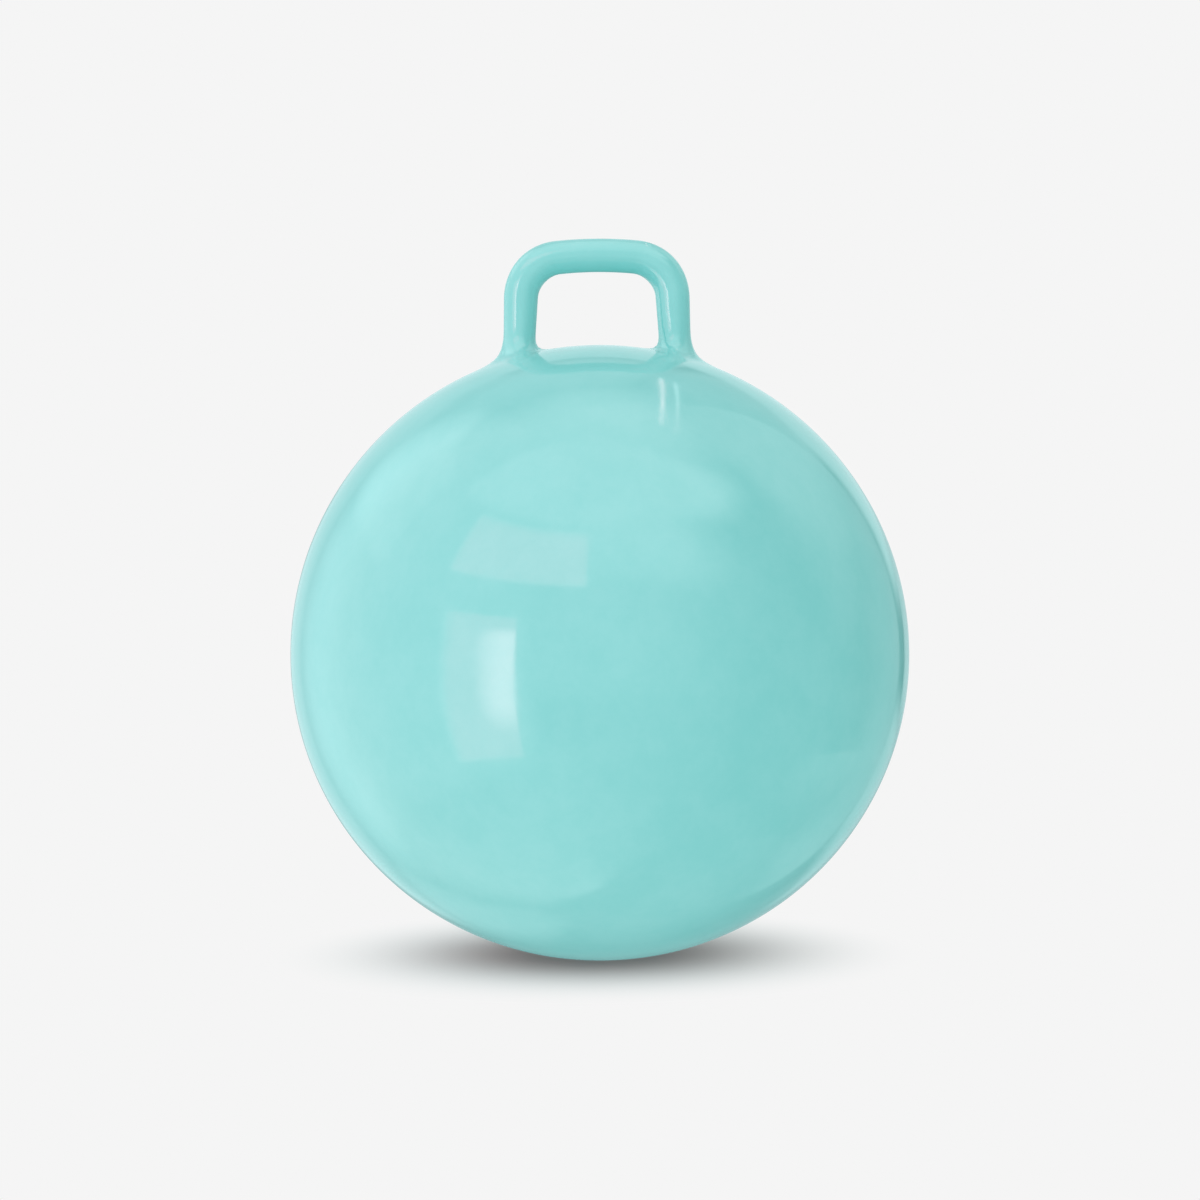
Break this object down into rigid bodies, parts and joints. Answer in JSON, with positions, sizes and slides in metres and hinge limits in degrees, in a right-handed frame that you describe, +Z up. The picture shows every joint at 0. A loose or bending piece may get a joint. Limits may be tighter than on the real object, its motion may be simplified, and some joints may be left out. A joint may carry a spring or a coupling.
{
  "type": "hopper ball",
  "caption": "Inflatable vinyl ball with a moulded loop handle on top, for a child to sit on and bounce, and a push-in air plug at the back.",
  "frame": {"origin": "centre of the flat patch on which the ball rests on the floor", "axes": "+Z up through the handle, X along the handle's grip, +Y towards the back, where the air valve is"},
  "size_m": [0.45, 0.45, 0.5223],
  "materials": {
    "vinyl": "glossy soft vinyl, mint",
    "plug": "satin soft plastic, white"
  },
  "bodies": {
    "ball": {"ball_shell": "vinyl", "handle_loop": "vinyl", "valve_seat": "vinyl"},
    "plug": {"valve_plug": "plug"}
  },
  "joints": [
    {"name": "plug_pull", "type": "slide", "parent": "ball", "child": "plug", "axis": [0, 0.9848, 0.1736], "range_m": [0, 0.03]}
  ]
}
